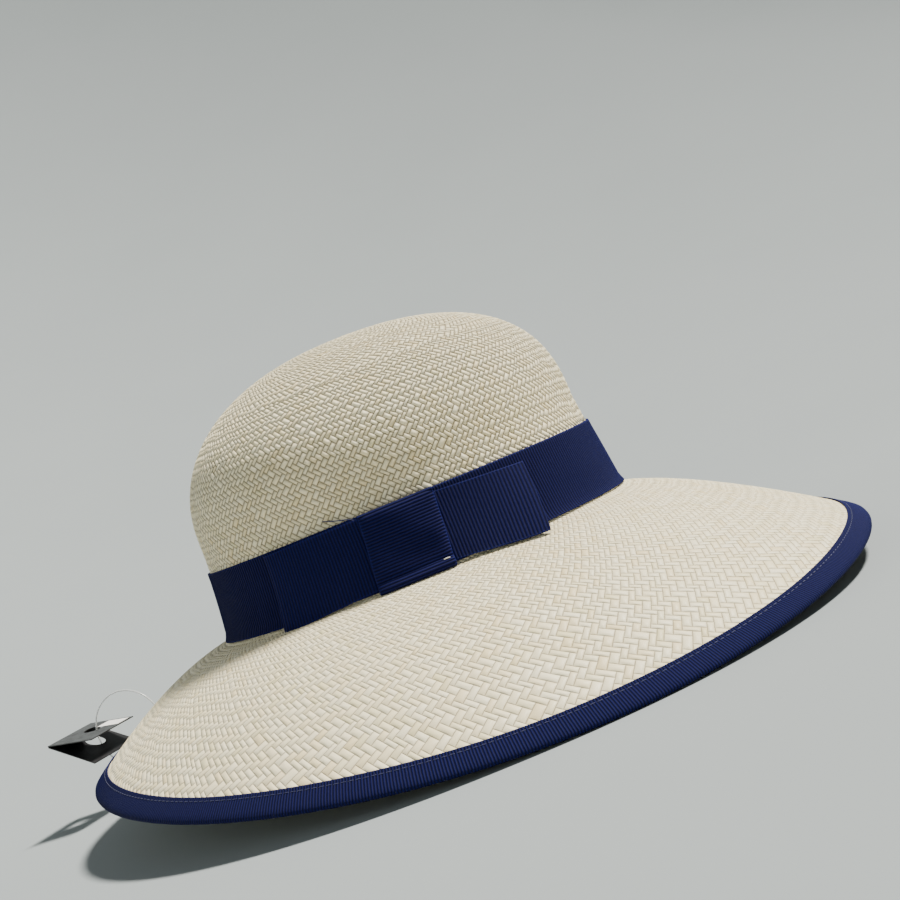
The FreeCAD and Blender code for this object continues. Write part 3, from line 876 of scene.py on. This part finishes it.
def ribbon_strip(name, path, rows, thick, material, nodes, lean=0.0):
    """Strip from control points (arc, off at foot, off at head, foot z, head z)."""
    reach = max(abs(spot[0]) for spot in path)
    ribs = round(smooth_path(path, 400)[1] / RIB_MM)
    line, length = smooth_path(path, ribs * RIB_COLUMNS + 1)

    def place(i, j):
        arc, off_low, off_high, z_low, z_high = line[i.astype(int)].T
        share = 0.5 - 0.5 * np.cos(math.pi * j / rows)
        outer = np.clip((off_low - 2.6) / 0.6, 0, 1)
        bulge = 0.45 * np.sin(math.pi * share) * np.sin(0.12 * arc + 1.0) * outer
        off = off_low + (off_high - off_low) * share + bulge + rib_height(i, 0.15)
        z = z_low + (z_high - z_low) * share
        phi = phi_of_arc(arc + lean * share * np.clip(arc / reach, 0, 1) ** 2)
        points = crown(np.maximum(z, 0.0), phi, off)
        points[:, 2] = z
        return points, np.stack([i / RIB_COLUMNS * RIB_MM, 35.0 * share], axis=1)

    mesh = bent_grid(name, ribs * RIB_COLUMNS, rows, place, "ribbon", 1e-9)
    piece = finish_piece(mesh, "hat", nodes, material)
    give_thickness(piece, thick)
    area = sum(face.area for face in mesh.polygons)
    print("%s: %.0f mm of ribbon, %.1f square cm" % (name, length, area * 1e4))
    return piece, length


# %% The two loops
# Control points: arc, off at the foot, off at the head, foot height, head height.
REAR_LOOP = [
    (-8, 3.3, 2.7, 2.6, 35.0), (-16, 3.3, 2.7, 2.2, 35.0), (-26, 3.5, 2.8, 1.6, 35.1),
    (-44, 4.2, 2.9, 0.3, 35.1), (-58, 4.9, 3.0, -0.9, 34.9), (-64.4, 5.1, 3.0, -1.3, 34.7),
    (-66.2, 4.4, 2.5, -1.4, 34.6), (-64.4, 3.3, 1.9, -1.0, 34.7), (-56, 2.6, 1.8, -0.3, 34.8),
    (-40, 2.2, 1.7, 1.2, 34.8), (-20, 2.0, 1.7, 2.2, 34.8), (-8, 2.0, 1.7, 2.5, 34.6)]
FRONT_LOOP = [
    (4, 3.3, 2.7, 2.4, 34.2), (12, 3.4, 2.8, 2.2, 34.0), (20, 4.1, 2.9, 1.6, 33.5),
    (32, 6.6, 3.3, 0.2, 32.5), (42, 9.6, 3.7, -1.0, 31.7), (50, 12.1, 4.2, -1.6, 31.0),
    (52.4, 12.0, 4.1, -1.6, 30.8), (51.0, 10.2, 3.0, -1.2, 30.9), (45, 7.2, 2.2, -0.3, 31.4),
    (34, 4.0, 1.9, 0.8, 32.4), (18, 2.3, 1.8, 2.0, 33.6), (4, 2.0, 1.7, 2.4, 34.0)]
LOOP_LEAN = 7.5                   # the front loop's end slants: its head reaches further
LOOP_ROWS, RIBBON_THICK = 14, 0.5
rear_loop, rear_length = ribbon_strip("bow_rear_loop_ribbon", REAR_LOOP, LOOP_ROWS,
                                      RIBBON_THICK, band_ribbon,
                                      ("bow_rear_loop",))
front_loop, front_length = ribbon_strip("bow_front_loop_ribbon", FRONT_LOOP, LOOP_ROWS,
                                        RIBBON_THICK, band_ribbon, ("bow_front_loop",), LOOP_LEAN)

# %% [markdown]
# ## The centre of the bow
# The piece over the middle is turned the other way, so its ribs lie along the band.
# Both its ends tuck in under the loops, at the top and at the bottom.
# A grid with its long way upright serves, with the path drawn as (distance off, height).

# %% Turn a ribbon over the loops
# Control points of the section, from the tucked top end down to the tucked foot:
# distance off the wall and height.
WRAP_SECTION = [(1.5, 33.6), (1.7, 35.0), (2.9, 36.0), (4.2, 35.2), (4.8, 32.5), (4.95, 26.0),
                (5.0, 17.0), (5.0, 9.0), (4.7, 5.2), (4.3, 3.6), (3.7, 3.0)]
WRAP_TOP, WRAP_FOOT = (-17.0, 17.7), (-19.8, 14.4)


def upright_strip(name, section, top, foot, columns, thick, nodes, bend=0.3):
    """Ribbon with ribs along the band; section points are (off, z)."""
    ribs = max(2, round(smooth_path(section, 200)[1] / RIB_MM))
    line, length = smooth_path(section, ribs * RIB_COLUMNS + 1)
    z_high, z_low = max(p[1] for p in section), min(p[1] for p in section)

    def place(i, j):
        off, z = line[i.astype(int)].T
        share = j / columns
        fall = np.clip((z_high - z) / (z_high - z_low), 0, 1)
        left = top[0] + (foot[0] - top[0]) * fall
        right = top[1] + (foot[1] - top[1]) * fall
        arc = left + (right - left) * share
        crown_of_ribbon = bend * np.sin(math.pi * share) + 0.2 * np.sin(7 * share + 0.15 * z)
        hollow = -0.9 * np.exp(-((share - 0.72) / 0.2) ** 2 - ((z - 11.0) / 6.0) ** 2)
        edge = np.minimum(share, 1 - share) * (right - left)
        settle = -0.75 * np.exp(-edge / 1.2) * (off > 4.4)
        soft = crown_of_ribbon + settle + bend / 0.3 * hollow
        off = off + soft * np.clip(off - 2.5, 0, 1) + rib_height(i, 0.15)
        points = crown(np.maximum(z, 0.0), phi_of_arc(arc), off)
        points[:, 2] = z
        return points, np.stack([i / RIB_COLUMNS * RIB_MM, 35.0 * share], axis=1)

    mesh = bent_grid(name, ribs * RIB_COLUMNS, columns, place, "ribbon", 1e-9)
    piece = finish_piece(mesh, "hat", nodes, band_ribbon)
    give_thickness(piece, thick)
    print("%s: %.0f mm long" % (name, length))
    return piece, length


wrap, wrap_length = upright_strip("bow_centre_ribbon", WRAP_SECTION, WRAP_TOP, WRAP_FOOT, 40,
                                  0.5, ("bow_centre_wrap",))
TAIL_SECTION = [(3.8, 4.9), (4.6, 4.6), (5.7, 3.4), (6.0, 1.9), (5.5, 0.4), (4.5, -0.2),
                (3.4, 0.2)]
tail, tail_length = upright_strip("bow_tail_ribbon", TAIL_SECTION, (-19.2, 14.6), (-19.5, 14.4),
                                  40, 0.4, ("bow_tail_strip",), 0.0)
print("tail strip: %.1f mm of ribbon" % tail_length)

# %% [markdown]
# ## Loose ends of thread
# A pale tack holds the bow's foot, and one navy end was left untrimmed above the band.
# Both are round wire made from a smooth curve, then turned into mesh.


# %% Thread from a curve
def thread_piece(name, points, thick, node, material):
    data = bpy.data.curves.new(name, "CURVE")
    data.dimensions = "3D"
    data.bevel_depth = thick / 2 * MM
    data.bevel_resolution = 3
    data.use_fill_caps = True
    data.resolution_u = 12
    spline = data.splines.new("NURBS")
    spline.points.add(len(points) - 1)
    for spot, point in zip(spline.points, points):
        spot.co = (*((point + HAT_LIFT) * MM), 1.0)
    spline.order_u = 3
    spline.use_endpoint_u = True
    maker = bpy.data.objects.new(name + "_curve", data)
    bpy.context.collection.objects.link(maker)
    mesh = bpy.data.meshes.new_from_object(maker)
    mesh.name = name
    bpy.data.objects.remove(maker)
    bm = bmesh.new()
    bm.from_mesh(mesh)
    bmesh.ops.remove_doubles(bm, verts=bm.verts, dist=1e-7)
    bmesh.ops.recalc_face_normals(bm, faces=bm.faces)
    bm.to_mesh(mesh)
    bm.free()
    return finish_piece(mesh, "hat", (node,), material)


def on_wall(arc, z, off):
    return crown(np.array(z, float), phi_of_arc(np.array(arc, float)), off)


tack = [on_wall(*spot) for spot in
        ((9.9, 4.1, 4.9), (10.2, 4.3, 5.6), (11.4, 4.4, 5.9), (12.6, 4.2, 5.6), (12.8, 4.0, 4.9))]
thread_piece("bow_tack", tack, 0.5, "bow_tack_stitch", pale_thread)
stray = [on_wall(*spot) for spot in
         ((-18, 33.5, 1.6), (-20, 35.6, 1.9), (-22.5, 36.6, 1.8), (-27, 37.6, 1.5),
          (-33, 39.6, 1.2))]
thread_piece("stray_thread", stray, 0.5, "loose_thread_end", navy_thread)

# %% [markdown]
# ## Inside the hat
# A cotton tape sits inside the crown where the hat touches the head.  It is stitched
# along its lower edge and folds out when the hat is cleaned.  A plain weave in the
# material is enough here, with a turned lower edge in the mesh.

# %% Cloth material on the tape's own millimetres
def cloth_material(name, base, lift, scale, bump):
    material, tree, shader = principled(name, 0.85, Sheen_Weight=0.15)
    x, y, whole = uv_parts(tree, "ribbon")
    warp = math_node(tree, "SINE", times(tree, x, scale))
    weft = math_node(tree, "SINE", times(tree, y, scale))
    weave = math_node(tree, "MULTIPLY_ADD", times(tree, warp, weft), 0.5, 0.5)
    slub = noise(tree, whole, 0.35, 4.0)
    shade = math_node(tree, "MULTIPLY_ADD", slub, 0.7, times(tree, weave, 0.3))
    tree.links.new(mixed(tree, shade, base, lift), shader.inputs["Base Color"])
    bump_into(tree, shader, weave, bump)
    return material


sweat_cloth = cloth_material("sweatband_tape", (0.62, 0.58, 0.49, 1), (0.80, 0.77, 0.68, 1),
                             5.2, 0.0001)
label_cloth = cloth_material("label_satin", (0.80, 0.79, 0.75, 1), (0.92, 0.91, 0.88, 1),
                             9.0, 0.00006)

# %% Make the sweatband
# Section points: height on the wall, distance off its outer face.
SWEAT_SECTION = [(34.0, -1.95), (34.3, -2.2), (34.0, -2.55), (28.0, -2.6), (20.0, -2.65),
                 (12.0, -2.6), (7.5, -2.55), (5.8, -2.75), (4.9, -2.7), (4.5, -2.3), (4.8, -1.9),
                 (6.5, -1.8), (20.0, -1.85)]
SWEAT_COLUMNS = 720


def sweat_place(i, j):
    section = np.array(SWEAT_SECTION)[np.mod(j, len(SWEAT_SECTION)).astype(int)]
    phi = phi_of_turn(i / SWEAT_COLUMNS)
    wave = 0.12 * np.sin(11 * phi) + 0.08 * np.sin(29 * phi + 1.3)
    inside = (section[:, 1] < -2.4) & (section[:, 0] > 8)
    off = section[:, 1] + np.where(inside, wave, 0.0)
    return (crown(section[:, 0], phi, off),
            np.stack([i / SWEAT_COLUMNS * WALL_ROUND, section[:, 0]], axis=1))


sweat_mesh = bent_grid("sweatband_tape", SWEAT_COLUMNS, len(SWEAT_SECTION), sweat_place, "ribbon")
sweatband = finish_piece(sweat_mesh, "hat", ("sweatband",), sweat_cloth)
RUN_STITCHES, RUN_Z = 118, 6.6
run_phi = phi_of_turn((np.arange(RUN_STITCHES) + 0.5) / RUN_STITCHES)
run_z = np.full(RUN_STITCHES, RUN_Z)
run_spots = crown(run_z, run_phi, -2.75)
run_ups = run_spots - crown(run_z, run_phi, -1.75)
run_mesh = stitch_row("sweatband_stitches", run_spots, run_ups, 3.4, 0.5, 0.12)
finish_piece(run_mesh, "hat", ("sweatband_thread",), pale_thread)
print("sweatband: %d triangles" % (2 * len(sweat_mesh.polygons)))


# %% Sew in the blank label
LABEL_W, LABEL_H = 30, 18


def label_place(i, j):
    share, up = i / LABEL_W, j / LABEL_H
    phi = math.pi + (share - 0.5) * 0.316
    z = 9.0 + LABEL_H * up
    bow_out = 0.25 * np.sin(math.pi * share) * np.sin(math.pi * up)
    return crown(z, phi, -3.15 - bow_out), np.stack([LABEL_W * share, LABEL_H * up], axis=1)


label_mesh = bent_grid("size_label_cloth", LABEL_W, LABEL_H, label_place, "ribbon")
label = finish_piece(label_mesh, "hat", ("size_label",), label_cloth)
give_thickness(label, 0.3)

# %% [markdown]
# ## Small hard pieces
# The sprung wire in the rim, its crimped joiner, the nylon loop and the card tag keep
# their CAD shapes, which are right, and only get finishes.  The card is printed black
# and laminated, so it has a slight gloss with a few scuffs.


# %% Metal, nylon, card and paper
def metal_material(name, base, scratched, roughness):
    material, tree, shader = principled(name, roughness, Metallic=1.0)
    lines = noise(tree, own_coords(tree), 700.0, 4.0)
    tree.links.new(mixed(tree, lines, base, scratched), shader.inputs["Base Color"])
    tree.links.new(smooth_step(tree, lines, 0.3, 0.7, roughness, roughness + 0.2),
                   shader.inputs["Roughness"])
    return material


spring_wire = metal_material("spring_wire", (0.52, 0.52, 0.53, 1), (0.66, 0.66, 0.66, 1), 0.3)
joiner_brass = metal_material("joiner_brass", (0.66, 0.48, 0.2, 1), (0.8, 0.62, 0.3, 1), 0.32)

nylon, tree, shader = principled("clear_nylon", 0.22, Transmission_Weight=0.5, IOR=1.53)
haze = noise(tree, own_coords(tree), 300.0, 3.0)
tree.links.new(mixed(tree, haze, (0.80, 0.82, 0.84, 1), (0.93, 0.94, 0.95, 1)),
               shader.inputs["Base Color"])

card, tree, shader = principled("laminated_card", 0.3, Coat_Weight=0.15, Coat_Roughness=0.2)
scuff = noise(tree, own_coords(tree), 160.0, 6.0, 0.7)
fine = noise(tree, own_coords(tree), 900.0, 2.0)
tree.links.new(mixed(tree, smooth_step(tree, scuff, 0.55, 0.75, 0.0, 0.5),
                     (0.010, 0.010, 0.012, 1), (0.035, 0.033, 0.038, 1)),
               shader.inputs["Base Color"])
tree.links.new(smooth_step(tree, scuff, 0.4, 0.8, 0.34, 0.55), shader.inputs["Roughness"])
bump_into(tree, shader, fine, 0.00002)

paper, tree, shader = principled("sticker_paper", 0.55)
pulp = noise(tree, own_coords(tree), 800.0, 5.0)
tree.links.new(mixed(tree, pulp, (0.80, 0.80, 0.79, 1), (0.92, 0.92, 0.91, 1)),
               shader.inputs["Base Color"])
bump_into(tree, shader, pulp, 0.00003)

for node, material in (("edge_wire", spring_wire), ("edge_wire_joiner", joiner_brass),
                       ("tag_loop", nylon), ("tag_lower_leaf", card),
                       ("tag_upper_leaf", card), ("tag_sticker", paper)):
    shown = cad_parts[node]
    shown.data.materials.clear()
    shown.data.materials.append(material)
print("finishes on the CAD pieces set")

# %% [markdown]
# ## Floor and light
# The hat rests on a pale floor that curves up slowly into a backdrop on every side, so
# that no edge of it crosses the view.  An area lamp would leave a pool of light on the
# floor, so the key is a sun with a wide disc: it lights the brim, leaves the crown's
# near side in shade and drops one soft shadow.  A broad weak lamp in front keeps the
# ribs of the band readable.

# %% Floor
stage_paint, tree, shader = principled("stage_paint", 0.9, Specular_IOR_Level=0.2)
mottle = noise(tree, own_coords(tree), 3.0, 3.0)
tree.links.new(mixed(tree, mottle, (0.295, 0.33, 0.345, 1), (0.32, 0.355, 0.37, 1)),
               shader.inputs["Base Color"])
FLAT_R, BOWL_R = 0.42, 3.2        # level floor under the hat, then a wide slow curve
bm = bmesh.new()
profile = [bm.verts.new((0, 0, 0))]
for turned in np.linspace(0.0, math.pi / 2, 24):
    profile.append(bm.verts.new((FLAT_R + BOWL_R * math.sin(turned), 0,
                                 BOWL_R * (1 - math.cos(turned)))))
spokes = [bm.edges.new(pair) for pair in zip(profile, profile[1:])]
bmesh.ops.spin(bm, geom=profile + spokes, cent=(0, 0, 0), axis=(0, 0, 1),
               angle=2 * math.pi, steps=96, use_merge=True)
bmesh.ops.remove_doubles(bm, verts=bm.verts, dist=1e-5)
bmesh.ops.recalc_face_normals(bm, faces=bm.faces)
bmesh.ops.reverse_faces(bm, faces=bm.faces)
bmesh.ops.translate(bm, verts=bm.verts, vec=(0, 0, -0.0004))
stage_mesh = smooth_into(bm, bpy.data.meshes.new("stage"))
stage_mesh.materials.append(stage_paint)
stage = bpy.data.objects.new("stage", stage_mesh)
bpy.context.collection.objects.link(stage)


# %% Lamps
AIM = Vector((0.01, 0.0, 0.08))


def lamp_at(name, kind, direction, distance, power, colour, **settings):
    """Lamp looking at the middle of the hat from a direction."""
    data = bpy.data.lights.new(name, kind)
    data.energy = power
    data.color = colour
    for setting, value in settings.items():
        setattr(data, setting, value)
    lamp = bpy.data.objects.new(name, data)
    bpy.context.collection.objects.link(lamp)
    towards = Vector(direction).normalized()
    lamp.matrix_world = (Matrix.Translation(AIM + towards * distance)
                         @ towards.to_track_quat("Z", "Y").to_matrix().to_4x4())
    return lamp


lamp_at("key", "SUN", (0.52, 0.04, 0.85), 2.0, 8.6, (1.0, 0.95, 0.86),
        angle=math.radians(9))
lamp_at("front_fill", "AREA", (-0.1, -1.0, 0.45), 2.0, 3.0, (0.93, 0.96, 1.0),
        shape="SQUARE", size=1.6)
world = bpy.data.worlds.new("studio_air")
bpy.context.scene.world = world
world.use_nodes = True
world.node_tree.nodes["Background"].inputs[0].default_value = (0.80, 0.84, 0.86, 1)
world.node_tree.nodes["Background"].inputs[1].default_value = 0.15
